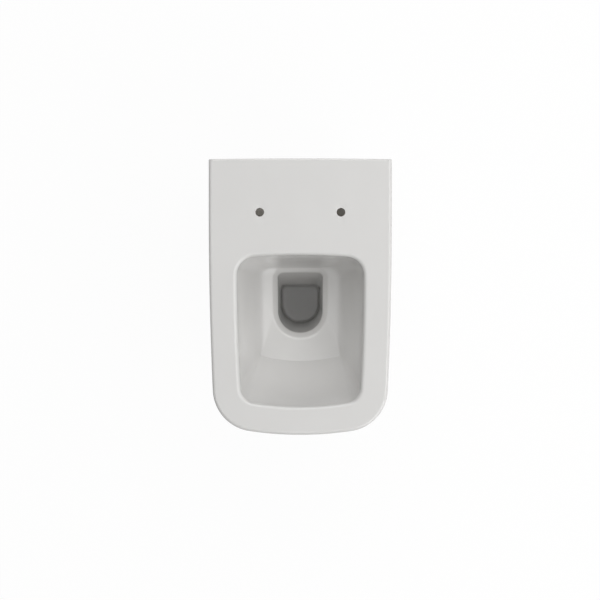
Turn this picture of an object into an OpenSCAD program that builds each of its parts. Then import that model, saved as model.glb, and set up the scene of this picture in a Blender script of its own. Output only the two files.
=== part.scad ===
// Wall hung toilet pan without its seat, with the concealed fixings that hold it to two wall studs.
// The wall is the plane y = 0, the pan reaches out along -y, and z = 0 is the height of the studs.

/* [Pan] */
// Width of the pan
pan_w = 350; // [340:1:370]
// Projection from the wall
pan_depth = 528; // [515:1:560]
// Height from the underside to the rim
pan_h = 340; // [336:1:360]
// Height of the rim above the wall studs
rim_above_studs = 80; // [78:1:84]
// Thickness of the ceramic shell
wall = 10; // [9:0.5:12]
// Thickness of the deck and rim
deck_t = 14; // [13:0.5:16]
// Thickness of the web that stands against the wall
web_t = 12; // [11:0.5:16]
// Radius of the two front corners
front_corner_r = 82; // [70:1:90]
// Radius of the bowed front edge
front_bow_r = 650; // [550:10:900]
// Radius of the slightly bowed sides
side_bow_r = 7490; // [6000:10:12000]
// Length of side that runs straight out from the wall
side_straight = 104; // [80:1:120]
// Rounding of the outer top edge
edge_r = 6.5; // [5:0.5:8]
// Height of the upright band below the rim
belt_h = 118; // [110:1:130]
// How far each side draws in at the underside
side_tuck = 52; // [40:1:56]
// How far the front sweeps back at the underside
front_sweep = 318; // [290:1:330]

/* [Bowl] */
// Half width of the bowl opening
opening_hw = 121.5; // [112:0.5:124]
// Distance from the wall to the bowl opening
opening_back = 184.5; // [180:0.5:188]
// Width of the rim in front of the bowl
rim_front = 53.5; // [48:0.5:60]
// Radius of the rear corners of the opening
opening_rear_r = 36; // [30:1:42]
// Radius of the front corners of the opening
opening_front_r = 29; // [25:1:34]
// Rounding of the opening's edge
lip_r = 7.5; // [6:0.5:9]
// Half width of the outlet well at its mouth
well_hw = 44; // [41:0.5:45]
// Distance from the wall to the mouth of the outlet well
well_back = 215.5; // [214:0.5:219]
// Length of the mouth of the outlet well
well_len = 119; // [112:1:120]
// Depth of the well's mouth below the rim
well_mouth_d = 158; // [152:1:164]
// Half width of the flush slot behind the bowl
slot_hw = 45; // [38:1:52]
// Height of the flush slot
slot_h = 12; // [10:0.5:13]

/* [Connections] */
// Distance between the two wall studs
stud_gap = 180; // [176:1:184]
// Radius of the wall studs
stud_r = 6; // [5:0.5:6.5]
// Height of the flush inlet above the studs
inlet_rise = 35; // [33:0.5:36]
// Radius of the flush inlet socket
inlet_r = 27.5; // [26.5:0.5:29]
// Depth of the flush inlet socket
inlet_depth = 44; // [40:1:50]
// Radius of the flush pipe that the seal takes
flush_pipe_r = 22.5; // [21.5:0.5:23]
// Depth of the waste outlet below the studs
outlet_drop = 100; // [98:0.5:103]
// Outer radius of the waste spigot
outlet_r = 51; // [49:0.5:52]
// Inner radius of the waste spigot
outlet_bore_r = 43; // [41:0.5:44]
// Distance from the wall to the end of the waste spigot
outlet_recess = 4; // [3:0.5:8]
// Distance between the two seat holes
seat_hole_gap = 155; // [140:1:165]
// Distance from the wall to the seat holes
seat_hole_back = 103; // [98:1:110]
// Radius of the seat holes
seat_hole_r = 8.25; // [7:0.25:9]

/* [Fixings] */
// Radius of the fixing bush
bush_r = 17; // [16:0.5:18]
// Length of the fixing bush
bush_len = 68; // [66:1:74]
// Radius of the stud washer
washer_r = 12; // [11.5:0.5:14]
// Thickness of the stud washer
washer_t = 2.5; // [2:0.1:3]
// Width across the flats of the stud nut
nut_af = 19; // [18:0.5:19.5]
// Height of the stud nut
nut_h = 10; // [8:0.5:11]
// Distance from the wall to the side screws
side_screw_back = 42; // [40:1:44]
// Radius of the side screw
side_screw_r = 5; // [4:0.5:5.5]
// Length of the side screw
side_screw_len = 50; // [46:1:54]
// Width across the flats of the socket in the side screw
socket_af = 5; // [4:0.5:5]
// Depth of the socket in the side screw
socket_depth = 7; // [5:0.5:9]
// Outer radius of the screw insert
insert_r = 11; // [10:0.5:12]
// Length of the screw insert's barrel
insert_len = 27; // [24:0.5:29]
// Thickness of the insert's flange
insert_flange_t = 2.5; // [2:0.1:3]
// Radius of the recess for the cover cap
cap_recess_r = 14.5; // [14:0.1:15.5]
// Depth of the recess for the cover cap
cap_recess_depth = 8; // [7.5:0.5:9]
// Thickness of the cover cap's face
cap_face_t = 2.4; // [2:0.1:2.8]
// Thickness of the cover cap's skirt
cap_skirt_t = 1.6; // [1.2:0.1:2]
// Thickness of the seal's flange
seal_flange_t = 4; // [3:0.5:5]
// Length of the inlet seal
seal_len = 38; // [34:1:39]
// Clearance round each piece that sits in the ceramic or turns in another
clearance = 0.3; // [0.2:0.05:0.4]

/* [Hidden] */

// Extra length of a cut, so that it starts and ends in the open
cut = 1;
rim_z = rim_above_studs;
bottom_z = rim_z - pan_h;
outlet_z = -outlet_drop;
half_w = pan_w / 2;

glaze = [0.93, 0.93, 0.92];
nylon = [0.86, 0.86, 0.82];
rubber = [0.12, 0.12, 0.12];
zinc = [0.72, 0.73, 0.75];
brass = [0.78, 0.62, 0.32];
cap_white = [0.95, 0.95, 0.95];

// Segments on half a ring, from the middle of its back edge to the middle of its front edge
BACK_N = 4;
BACK_CORNER_N = 4;
STRAIGHT_N = 1;
SIDE_N = 5;
FRONT_CORNER_N = 9;
FRONT_N = 6;

function mix(a, b, t) = a + (b - a) * t;
function ease(t) = let(u = max(0, min(1, t))) u * u * (3 - 2 * u);
function softly_less(a, b, k) = min(a, b) - k * ln(1 + exp(-abs(a - b) / k));
function softly_more(a, b, k) = max(a, b) + k * ln(1 + exp(-abs(a - b) / k));

// The first n of n + 1 even stops from a to b
function stops(a, b, n) = [for (i = [0:n - 1]) mix(a, b, i / n)];
function arc(cx, cy, r, a0, a1, n) = [for (a = stops(a0, a1, n)) [cx + r * cos(a), cy + r * sin(a)]];

// Centre of a front corner that touches both the bowed side and the bowed front, by repeated approach
function corner_centre(hw, yt, yf, rc, side_r, bow_r, cx, rounds) =
    let(
        cy = yf + bow_r - sqrt((bow_r - rc) * (bow_r - rc) - cx * cx),
        next = hw - side_r + sqrt((side_r - rc) * (side_r - rc) - (cy - yt) * (cy - yt)))
    rounds == 0 ? [cx, cy] : corner_centre(hw, yt, yf, rc, side_r, bow_r, next, rounds - 1);

// Right half of an outline, with a bowed back edge, side and front edge that its corners meet smoothly
function half_outline(hw, yb, yf, rb, rf, side_r, bow_r, back_r, straight) =
    let(
        back_a = asin((hw - rb) / (back_r - rb)),
        back_cy = yb - back_r + (back_r - rb) * cos(back_a),
        yt = min(back_cy, yb - straight),
        c = corner_centre(hw, yt, yf, rf, side_r, bow_r, hw - rf, 6),
        side_a = asin((yt - c[1]) / (side_r - rf)),
        front_a = asin(c[0] / (bow_r - rf)))
    concat(
        arc(0, yb - back_r, back_r, 90, 90 - back_a, BACK_N),
        arc(hw - rb, back_cy, rb, 90 - back_a, 0, BACK_CORNER_N),
        [for (y = stops(back_cy, yt, STRAIGHT_N)) [hw, y]],
        arc(hw - side_r, yt, side_r, 0, -side_a, SIDE_N),
        arc(c[0], c[1], rf, -side_a, front_a - 90, FRONT_CORNER_N),
        arc(0, yf + bow_r, bow_r, front_a - 90, -90, FRONT_N),
        [[0, yf]]);

// A whole outline at height z, running anticlockwise seen from above
function ring(z, half) = let(last = len(half) - 1) concat(
    [for (i = [0:last]) [-half[i][0], half[i][1], z]],
    [for (i = [last - 1:-1:1]) [half[i][0], half[i][1], z]]);
function raised(points, h) = [for (p = points) p + [0, 0, h]];
function between(a, b, t) = [for (i = [0:len(a) - 1]) mix(a[i], b[i], t)];
function reversed(list) = [for (i = [len(list) - 1:-1:0]) list[i]];

// A closed solid through rings of equal length, listed from one end to the other
module loft(rings) {
    n = len(rings[0]);
    m = len(rings);
    points = [for (r = rings) each r];
    sides = [for (k = [0:m - 2]) for (i = [0:n - 1])
        let(a = k * n + i, b = a + n, d = k * n + (i + 1) % n, c = d + n)
        each [[a, b, c], [a, c, d]]];
    ends = [[for (i = [0:n - 1]) i], [for (i = [n - 1:-1:0]) (m - 1) * n + i]];
    polyhedron(points = points, faces = concat(sides, ends), convexity = 8);
}

// Outer skin. The back edge is flat on the wall, and the underside sweeps back in a quarter of an ellipse
outer_back_r = 2.5;
flat_back_r = 60000;
corner_growth = 16;
SWEEP_N = 11;
EDGE_N = 3;

// Outline of the skin at depth d below the rim and angle a round the sweep, or of one inset behind it
function skin_ring(a, d, inset, back) =
    let(draw = 1 - cos(a))
    ring(rim_z - d, half_outline(
        half_w - side_tuck * draw - inset, back, -pan_depth + front_sweep * draw + inset,
        max(outer_back_r, inset / 2), front_corner_r + corner_growth * draw - inset, side_bow_r - inset,
        front_bow_r - inset, flat_back_r, side_straight));
function skin_rings(inset, back) = [for (i = [SWEEP_N:-1:0]) let(a = 90 * i / SWEEP_N)
    skin_ring(a, belt_h + (pan_h - belt_h - inset) * sin(a), inset, back)];

module outer_skin() {
    loft(concat(
        skin_rings(0, 0),
        [for (i = [0:EDGE_N]) let(a = 90 * i / EDGE_N)
            skin_ring(0, edge_r * (1 - sin(a)), edge_r * (1 - cos(a)), 0)]));
}

module hollow() {
    loft(concat(skin_rings(wall, -web_t), [skin_ring(0, deck_t, wall, -web_t)]));
}

// Bowl. Its side walls and the ramp in front end at a crease, a shelf slopes from there to the well's mouth,
// and the well drops to its floor
well_front = -well_back - well_len;
opening_front = -pan_depth + rim_front;
well_drop = 130;
well_floor_z = outlet_z - well_drop;
well_depth = rim_z - well_floor_z;
well_draw_in = 6.5;
well_floor_r = 5;
well_rear_slope = 0.28;
well_rear_stop = 25;
well_front_draw_in = 20;
well_corner_r = 10;
collar_w = 9.5;
collar_slope = 1.3;
collar_top_d = well_mouth_d - 6;
collar_r = 1;
wall_lean = 0.04;
wall_bend = 0.0017;
ramp_lean = 0.2;
ramp_bend = 0.00272;
ramp_cut = 0.00146;
upright_lip = 12;
rear_lean = 0.03;
rear_bend = 0.00093;
crease_d = well_mouth_d - 14;
crease_bow_r = 290;
crease_corner_r = 47;
mouth_r = 1.2;
mouth_bottom_d = well_mouth_d + 20;
back_drop_d = well_mouth_d - 58;
floor_top_d = well_depth - well_floor_r;
opening_side_bow_r = 3540;
opening_front_bow_r = 572;
opening_back_bow_r = 1300;
well_front_bow_r = 75;

function below_mouth(d) = max(0, d - well_mouth_d);
function down_well(d) = below_mouth(d) / (well_depth - well_mouth_d);
function floor_inset(d) =
    let(t = max(0, (d - floor_top_d) / well_floor_r)) well_floor_r * (1 - sqrt(max(0, 1 - t * t)));

// How far the rounded lip stands outside a wall that leans in by so much for each step down
function lip_out(d, lean) =
    let(turn = 90 - atan(lean))
    d >= lip_r * (1 - cos(turn)) ? 0 : lip_r * tan(turn / 2) - sqrt(d * (2 * lip_r - d)) + lean * d;

// How far the collar round the mouth, or the well itself, stands outside the well's mouth at depth d
function collar_out(d) = collar_w - (d - collar_top_d) * collar_slope;
function to_well(drawn_in, d) = softly_more(collar_out(d), -drawn_in * down_well(d), mouth_r);
function bowl_back(d) =
    let(
        fall = max(0, d - upright_lip),
        wall = well_back - opening_back - rear_lean * fall - rear_bend * fall * fall,
        ledge = softly_less(wall, collar_out(d), collar_r),
        well = -min(well_rear_stop, below_mouth(d) * well_rear_slope))
    lip_out(d, 0) - well_back - floor_inset(d) + softly_more(ledge, well, mouth_r);

// Level outline of the bowl's walls, whose front the ramp cuts off
function wall_ring(d, outset) =
    let(
        lip = lip_out(d, wall_lean) + outset,
        ramp = lip_out(d, ramp_lean) + outset - opening_front - ramp_lean * d - ramp_bend * d * d,
        bow = mix(1 / opening_front_bow_r, 1 / crease_bow_r, min(1, d / crease_d)) / 2,
        half = half_outline(
            opening_hw - wall_lean * d - wall_bend * d * d + lip, bowl_back(d) + outset,
            -ramp - ramp_cut * d * d,
            mix(opening_rear_r, well_corner_r + collar_w, min(1, d / well_mouth_d)) + lip,
            mix(crease_corner_r, opening_front_r, (1 - d / crease_d) * (1 - d / crease_d)) + lip,
            opening_side_bow_r, opening_front_bow_r + outset, opening_back_bow_r, 0))
    ring(rim_z - d, [for (p = half) [p[0], max(p[1], bow * p[0] * p[0] - ramp)]]);
function well_ring(d, outset) =
    let(
        hw = well_hw - floor_inset(d) + to_well(well_draw_in, d) + outset,
        front = well_front + floor_inset(d) - to_well(well_front_draw_in, d) - outset)
    ring(rim_z - d, half_outline(
        hw, bowl_back(d) + outset, front, well_corner_r + max(0, min(collar_w, collar_out(d))) + outset,
        hw - 1.5, opening_side_bow_r, well_front_bow_r + outset, opening_back_bow_r, 0));

// Outline of the bowl at depth d, or of one that is outset behind its glaze. The shelf is ruled from the
// crease to the collar
function bowl_ring(d, outset) =
    d <= crease_d ? wall_ring(d, outset) :
    d >= collar_top_d ? well_ring(d, outset) :
    between(wall_ring(crease_d, outset), well_ring(collar_top_d, outset),
        (d - crease_d) / (collar_top_d - crease_d));

LIP_N = 4;
function bowl_depths(from, wall_n, shelf_n, mouth_n, well_n) = concat(
    stops(from, crease_d, wall_n), stops(crease_d, collar_top_d, shelf_n),
    stops(collar_top_d, mouth_bottom_d, mouth_n), stops(mouth_bottom_d, floor_top_d, well_n), [floor_top_d]);

// The bowl's outer side lies as far below the shelf and the well as it lies outside the walls
function drop(d) = wall * ease((d - back_drop_d) / (crease_d - back_drop_d));

module bowl_cavity() {
    loft(concat(
        [for (i = [LIP_N:-1:1]) bowl_ring(floor_top_d + well_floor_r * sin(90 * i / LIP_N), 0)],
        [for (d = reversed(bowl_depths(lip_r, 8, 2, 7, 5))) bowl_ring(d, 0)],
        [for (i = [1:LIP_N]) bowl_ring(lip_r * (1 - sin(90 * i / LIP_N)), 0)],
        [raised(bowl_ring(0, 0), cut)]));
}

module bowl_body() {
    loft(concat(
        [raised(bowl_ring(floor_top_d, wall), -well_floor_r - wall)],
        [for (d = reversed(bowl_depths(deck_t - cut, 5, 1, 4, 2))) raised(bowl_ring(d, wall), -drop(d))]));
}

// Water way: a passage that leaves the foot of the well, climbs over the weir and drops to the outlet.
// Each stop holds its distance from the wall, its height above the outlet, its half width and half height
spigot_end = 56;
WATER_WAY = [
    [294, -98, 36, 31], [262, -98, 37, 31], [238, -97, 38, 31], [216, -90, 38, 32], [198, -73, 38, 33],
    [187, -50, 38, 34], [180, -26, 38, 35], [170, -3, 39, 36], [154, 14, 40, 37], [134, 21, 41, 38],
    [114, 19, 42, 40], [98, 13, 42, 42], [84, 6.5, outlet_bore_r, outlet_bore_r],
    [70, 1.5, outlet_bore_r, outlet_bore_r], [spigot_end, 0, outlet_bore_r, outlet_bore_r]];
way_squareness = 0.65;
trap_wall = 9;
TUBE_N = 20;

// A power of 1 keeps a circle round, and a lower one squares it
function squared(t, power) = sign(t) * pow(abs(t), power);
function way_point(i) = [-WATER_WAY[i][0], WATER_WAY[i][1] + outlet_z];
function way_ring(i, extra) =
    let(
        last = len(WATER_WAY) - 1,
        a = way_point(max(0, i - 1)),
        b = way_point(min(last, i + 1)),
        u = i == last ? [1, 0] : (b - a) / norm(b - a),
        c = way_point(i),
        power = min(1, mix(way_squareness, 1, i / (last - 2))))
    [for (t = stops(0, 360, TUBE_N))
        let(e = (WATER_WAY[i][2] + extra) * squared(cos(t), power),
            f = (WATER_WAY[i][3] + extra) * squared(sin(t), power))
        [e, c[0] + u[1] * f, c[1] - u[0] * f]];

module water_way(extra) {
    loft([for (i = [0:len(WATER_WAY) - 1]) way_ring(i, extra)]);
}

// Flush channel: it flattens from the inlet to a slot under the lip behind the bowl.
// Each section holds its distance from the wall, half width, half height and depth below the rim
slot_top_d = 13;
flush_wall = 8;
flush_squareness = 0.6;
CHANNEL_N = 16;
CHANNEL = [
    [inlet_depth - cut, inlet_r - 3, inlet_r - 3, rim_above_studs - inlet_rise],
    [90, 29, 20, 39],
    [135, 40, 11, 28],
    [opening_back - 10, slot_hw, slot_h / 2, slot_top_d + slot_h / 2],
    [opening_back + 6, slot_hw, slot_h / 2, slot_top_d + slot_h / 2]];

function channel_ring(s, extra) = [for (t = stops(0, 360, CHANNEL_N)) [
    (s[1] + extra) * squared(cos(t), flush_squareness), -s[0],
    rim_z - s[3] + (s[2] + extra) * squared(sin(t), flush_squareness)]];

module flush_channel(extra) {
    loft([for (s = CHANNEL) channel_ring(s, extra)]);
}

// Casting: the shell with its bowl, water way and bosses. A window in the web leaves room round the spigot
window_hw = 98;
window_rise = 66;
window_sill = 26;
window_top_z = outlet_z + window_rise;
window_bottom_z = bottom_z + window_sill;
window_corner_r = 42;
boss_wall = 8;
bush_boss_len = 30;
smooth = 32;

module along_y(y0, y1, r) {
    translate([0, y0, 0]) rotate([-90, 0, 0]) cylinder(r = r, h = y1 - y0);
}

module at_studs() {
    for (side = [-1, 1]) translate([side * stud_gap / 2, 0, 0]) children();
}

// Places a piece that is drawn outwards along +x from the pan's side face, at one of the two side screws
module at_side(side) {
    translate([side * half_w, -side_screw_back, 0]) rotate([0, side * 90, 0]) children();
}

module back_window() {
    translate([0, cut, 0]) rotate([90, 0, 0]) linear_extrude(web_t + 2 * cut)
        offset(r = window_corner_r, $fn = smooth) offset(delta = -window_corner_r)
            translate([-window_hw, window_bottom_z])
                square([2 * window_hw, window_top_z - window_bottom_z]);
}

module bosses() {
    at_studs() along_y(-bush_boss_len, -cut, bush_r + clearance + boss_wall, $fn = smooth);
    translate([0, 0, inlet_rise])
        along_y(-inlet_depth - boss_wall, -cut, inlet_r + boss_wall, $fn = smooth);
    for (side = [-1, 1]) at_side(side) translate([0, 0, -cap_recess_depth - insert_len])
        cylinder(r = insert_r + boss_wall, h = insert_len + cap_recess_depth - cut, $fn = smooth);
}

module casting() {
    difference() {
        union() {
            difference() {
                outer_skin();
                hollow();
                back_window();
            }
            bowl_body();
            water_way(trap_wall);
            flush_channel(flush_wall);
            bosses();
        }
        bowl_cavity();
        water_way(0);
        flush_channel(0);
    }
}

// The casting is drawn to the pan's width. Everything that another piece fits is cut in it afterwards
module pan() {
    color(glaze) difference() {
        union() {
            resize([pan_w, 0, 0]) casting();
            translate([0, 0, outlet_z]) along_y(-spigot_end - cut, -outlet_recess, outlet_r);
        }
        translate([0, 0, outlet_z]) along_y(-spigot_end - 2 * cut, 0, outlet_bore_r);
        translate([0, 0, inlet_rise]) along_y(-inlet_depth, cut, inlet_r);
        translate([0, 0, inlet_rise]) along_y(-seal_flange_t, cut, seal_flange_r + clearance);
        at_studs() along_y(-bush_boss_len - cut, cut, bush_r + clearance);
        for (side = [-1, 1]) at_side(side) {
            translate([0, 0, -cap_recess_depth]) cylinder(r = cap_recess_r, h = cap_recess_depth + cut);
            translate([0, 0, -cap_recess_depth - insert_len - cut])
                cylinder(r = insert_r + clearance, h = insert_len + 2 * cut);
        }
        for (side = [-1, 1])
            translate([side * seat_hole_gap / 2, -seat_hole_back, rim_z - deck_t - cut])
                cylinder(r = seat_hole_r, h = deck_t + 2 * cut);
    }
}

// Inlet seal: a ribbed sleeve with a flange that lies in a recess of the web
seal_flange_r = inlet_r + 5.5;
seal_rib_n = 4;
seal_rib_w = 4;
seal_groove = 1.2;
seal_r = inlet_r - clearance;
seal_bore_r = flush_pipe_r + 0.2;

module inlet_seal() {
    rib_gap = (seal_len - seal_flange_t - seal_rib_w) / (seal_rib_n - 1);
    color(rubber) translate([0, 0, inlet_rise]) rotate([90, 0, 0]) rotate_extrude() {
        translate([seal_bore_r, 0]) square([seal_flange_r - seal_bore_r, seal_flange_t]);
        translate([seal_bore_r, 0]) square([seal_r - seal_groove - seal_bore_r, seal_len]);
        for (i = [0:seal_rib_n - 1])
            translate([seal_bore_r, seal_flange_t + i * rib_gap])
                square([seal_r - seal_bore_r, seal_rib_w]);
    }
}

// Fixing bush: it fills the gap between stud and ceramic, and a groove takes the point of the side screw
stud_hole_r = stud_r + clearance;
groove_depth = 2.5;
groove_hw = 5;
bush_lead_in = 3;

module fixing_bush(side) {
    color(nylon) translate([side * stud_gap / 2, 0, 0]) rotate([90, 0, 0]) rotate_extrude()
        polygon([
            [stud_hole_r, 0], [bush_r, 0],
            [bush_r, side_screw_back - groove_hw], [bush_r - groove_depth, side_screw_back - groove_hw / 2],
            [bush_r - groove_depth, side_screw_back + groove_hw / 2], [bush_r, side_screw_back + groove_hw],
            [bush_r, bush_len - bush_lead_in], [bush_r - bush_lead_in, bush_len], [stud_hole_r, bush_len]]);
}

module stud_washers() {
    color(zinc) at_studs() difference() {
        along_y(-bush_len - washer_t, -bush_len, washer_r);
        along_y(-bush_len - washer_t - cut, -bush_len + cut, stud_hole_r);
    }
}

function across_corners_r(af) = af / 2 / cos(30);

module stud_nuts() {
    face = -bush_len - washer_t;
    color(zinc) at_studs() difference() {
        along_y(face - nut_h, face, across_corners_r(nut_af), $fn = 6);
        along_y(face - nut_h - cut, face + cut, stud_hole_r);
    }
}

// Screw insert: a flanged brass sleeve set in the side of the pan
insert_flange_r = cap_recess_r - 2 * clearance;
insert_bore_r = side_screw_r + clearance;

module screw_insert(side) {
    color(brass) at_side(side) difference() {
        union() {
            translate([0, 0, -cap_recess_depth - insert_len]) cylinder(r = insert_r, h = insert_len + cut);
            translate([0, 0, -cap_recess_depth]) cylinder(r = insert_flange_r, h = insert_flange_t);
        }
        translate([0, 0, -cap_recess_depth - insert_len - cut])
            cylinder(r = insert_bore_r, h = insert_len + insert_flange_t + 2 * cut);
    }
}

// Side screw: its blunt point stands just clear of the groove in the bush
point_len = 4;
point_r = 2;

module side_screw(side) {
    tip = -half_w + stud_gap / 2 + bush_r - groove_depth + clearance;
    color(zinc) at_side(side) translate([0, 0, tip]) difference() {
        union() {
            cylinder(r1 = point_r, r2 = side_screw_r, h = point_len);
            translate([0, 0, point_len]) cylinder(r = side_screw_r, h = side_screw_len - point_len);
        }
        translate([0, 0, side_screw_len - socket_depth])
            cylinder(r = across_corners_r(socket_af), h = socket_depth + cut, $fn = 6);
    }
}

// Cover cap: it pushes into the recess until its skirt is just clear of the insert
cap_r = cap_recess_r - clearance;
cap_edge = 0.8;
cap_h = cap_recess_depth - insert_flange_t - clearance;

module cover_cap(side) {
    color(cap_white) at_side(side) translate([0, 0, -cap_h]) rotate_extrude()
        polygon([
            [0, cap_h - cap_face_t], [cap_r - cap_skirt_t, cap_h - cap_face_t], [cap_r - cap_skirt_t, 0],
            [cap_r, 0], [cap_r, cap_h - cap_edge], [cap_r - cap_edge, cap_h], [0, cap_h]]);
}

pan();
inlet_seal();
fixing_bush(-1);  // fixing_bush_left
fixing_bush(1);  // fixing_bush_right
stud_washers();
stud_nuts();
screw_insert(-1);  // screw_insert_left
screw_insert(1);  // screw_insert_right
side_screw(-1);  // side_screw_left
side_screw(1);  // side_screw_right
cover_cap(-1);  // cover_cap_left
cover_cap(1);  // cover_cap_right
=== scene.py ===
"""A wall hung toilet pan seen from straight above: its glazed casting and the fixings behind it.

Sizes are in millimetres and are scaled to metres where a vertex is placed. The wall is the plane y = 0,
the pan reaches out along -y, and z = 0 is the height of the wall studs.
"""

import math

import bmesh
import bpy
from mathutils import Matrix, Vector


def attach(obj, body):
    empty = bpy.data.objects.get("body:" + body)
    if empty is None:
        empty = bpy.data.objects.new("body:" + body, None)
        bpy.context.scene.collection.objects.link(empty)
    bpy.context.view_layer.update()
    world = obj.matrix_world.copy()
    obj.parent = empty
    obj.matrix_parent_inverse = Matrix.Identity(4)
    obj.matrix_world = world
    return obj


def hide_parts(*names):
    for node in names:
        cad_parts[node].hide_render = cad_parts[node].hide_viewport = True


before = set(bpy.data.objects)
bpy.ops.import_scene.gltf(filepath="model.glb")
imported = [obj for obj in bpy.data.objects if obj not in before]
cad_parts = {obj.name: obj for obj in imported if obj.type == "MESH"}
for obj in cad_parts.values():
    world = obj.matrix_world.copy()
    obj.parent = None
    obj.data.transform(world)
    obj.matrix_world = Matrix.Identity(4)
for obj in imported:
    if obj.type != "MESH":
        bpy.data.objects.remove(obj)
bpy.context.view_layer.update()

MM = 0.001
TAU = 2 * math.pi
QUARTER = math.pi / 2

# Overall sizes, the same as the CAD model's
PAN_W, PAN_DEPTH, PAN_H = 350, 528, 340
RIM_Z = 80
BOTTOM_Z = RIM_Z - PAN_H
WALL, DECK_T, WEB_T = 10, 14, 12
FRONT_CORNER_R, FRONT_BOW_R, SIDE_BOW_R, SIDE_STRAIGHT = 82, 650, 7490, 104
EDGE_R, BACK_EDGE_R, BACK_CORNER_R = 6.5, 1.5, 2.5
BELT_H, SIDE_TUCK, FRONT_SWEEP, CORNER_GROWTH = 118, 52, 318, 16
FLAT_R, TOP_BACK_BOW_R = 60000, 10500

# Bowl and outlet well
OPENING_HW, OPENING_BACK, RIM_FRONT = 121.5, 184.5, 53.5
OPENING_REAR_R, OPENING_FRONT_R, LIP_R = 36, 29, 7.5
OPENING_SIDE_BOW_R, OPENING_FRONT_BOW_R, OPENING_BACK_BOW_R = 3540, 572, 1300
WELL_HW, WELL_BACK, WELL_LEN, WELL_MOUTH_D, WELL_DROP = 44, 215.5, 119, 158, 130
WELL_DRAW_IN, WELL_FLOOR_R, WELL_REAR_SLOPE, WELL_REAR_STOP = 6.5, 5, 0.28, 25
WELL_FRONT_DRAW_IN, WELL_CORNER_R, WELL_FRONT_BOW_R = 20, 10, 75
COLLAR_W, COLLAR_SLOPE, COLLAR_TOP_D, COLLAR_R = 9.5, 1.3, WELL_MOUTH_D - 6, 1
WALL_LEAN, WALL_BEND, REAR_LEAN, REAR_BEND, UPRIGHT_LIP = 0.04, 0.0017, 0.03, 0.00093, 12
RAMP_LEAN, RAMP_BEND, RAMP_CUT = 0.2, 0.00272, 0.00146
CREASE_D, CREASE_BOW_R, CREASE_CORNER_R, MOUTH_R = WELL_MOUTH_D - 14, 290, 47, 1.2
# The side creases are rounded by so many passes, which fade out in front, at the ramp's foot
CREASE_PASSES, CREASE_RUN_OUT, RAMP_FOOT_Y, RAMP_EDGE_SOFTNESS = 14, 40, -380, 2

# Connections
STUD_GAP, STUD_HOLE_R = 180, 6.3
INLET_RISE, INLET_R, INLET_DEPTH = 35, 27.5, 44
OUTLET_Z, OUTLET_R, OUTLET_BORE_R, OUTLET_RECESS, SPIGOT_END = -100, 51, 43, 4, 56
WELL_DEPTH = RIM_Z - OUTLET_Z + WELL_DROP
FLOOR_TOP_D = WELL_DEPTH - WELL_FLOOR_R
MOUTH_BOTTOM_D, BACK_DROP_D = WELL_MOUTH_D + 20, WELL_MOUTH_D - 58
SEAT_HOLE_GAP, SEAT_HOLE_BACK, SEAT_HOLE_R, SEAT_HOLE_LIP = 155, 103, 8.25, 0.4
SLOT_HW, SLOT_H, SLOT_TOP_D = 45, 12, 13
FLUSH_WALL, FLUSH_SQUARENESS = 8, 0.6
TRAP_WALL, WAY_SQUARENESS = 9, 0.65
WINDOW_HW, WINDOW_RISE, WINDOW_SILL, WINDOW_CORNER_R = 98, 66, 26, 42

# Fixings
CLEARANCE = 0.3
BUSH_R, BUSH_LEN, BUSH_BOSS_LEN, BOSS_WALL = 17, 68, 30, 8
BUSH_GROOVE_DEPTH, BUSH_GROOVE_HW, BUSH_LEAD_IN = 2.5, 5, 3
WASHER_R, WASHER_T, NUT_AF, NUT_H = 12, 2.5, 19, 10
SIDE_SCREW_BACK, SIDE_SCREW_R, SIDE_SCREW_LEN, POINT_LEN, POINT_R = 42, 5, 50, 4, 2
SOCKET_AF, SOCKET_DEPTH = 5, 7
INSERT_R, INSERT_LEN, INSERT_FLANGE_T = 11, 27, 2.5
CAP_RECESS_R, CAP_RECESS_DEPTH = 14.5, 8
INSERT_FLANGE_R, INSERT_BORE_R = CAP_RECESS_R - 2 * CLEARANCE, SIDE_SCREW_R + CLEARANCE
CAP_FACE_T, CAP_SKIRT_T, CAP_R = 2.4, 1.6, CAP_RECESS_R - CLEARANCE
CAP_H = CAP_RECESS_DEPTH - INSERT_FLANGE_T - CLEARANCE
SEAL_FLANGE_T, SEAL_FLANGE_R = 4, INLET_R + 5.5
SEAL_LEN, SEAL_R, SEAL_BORE_R = 38, INLET_R - CLEARANCE, 22.7
SEAL_RIB_N, SEAL_RIB_W, SEAL_GROOVE, SEAL_RIB_EASE = 4, 4, 1.2, 0.8
THREAD_DEPTH, NUT_PITCH, SCREW_PITCH = 0.8, 1.75, 1.5
KNURL_N, KNURL_DEPTH, WAIST_DEPTH = 40, 0.7, 0.9
FLUTE_N, FLUTE_R, FLUTE_AXIS_R, FLUTE_ENDS = 12, 2, BUSH_R + 1, (5, 32)

# Segments on each stretch of half an outline
BACK_N, BACK_CORNER_N, STRAIGHT_N, SIDE_N, FRONT_CORNER_N, FRONT_N = 12, 10, 4, 14, 26, 12
# Rings on each stretch of the glazed skin, of the bowl's outer side and of the hollow
SWEEP_N, SIDE_RISE_N, EDGE_N = 36, 6, 8
LIP_N, WALL_N, SHELF_N, MOUTH_N, WELL_N, FLOOR_N = 14, 44, 10, 26, 16, 8
BACK_WALL_N, BACK_SHELF_N, BACK_MOUTH_N, BACK_WELL_N, HOLLOW_SWEEP_N = 14, 3, 6, 5, 14


def mix(a, b, t):
    return a + (b - a) * t


def clamp(t):
    return max(0.0, min(1.0, t))


def ease(t):
    u = clamp(t)
    return u * u * (3 - 2 * u)


def softly_less(a, b, k):
    return min(a, b) - k * math.log(1 + math.exp(-abs(a - b) / k))


def softly_more(a, b, k):
    return max(a, b) + k * math.log(1 + math.exp(-abs(a - b) / k))


def stops(a, b, n):
    """The first n of n + 1 even stops from a to b."""
    return [mix(a, b, i / n) for i in range(n)]


def squared(t, power):
    return math.copysign(abs(t) ** power, t)


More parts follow.
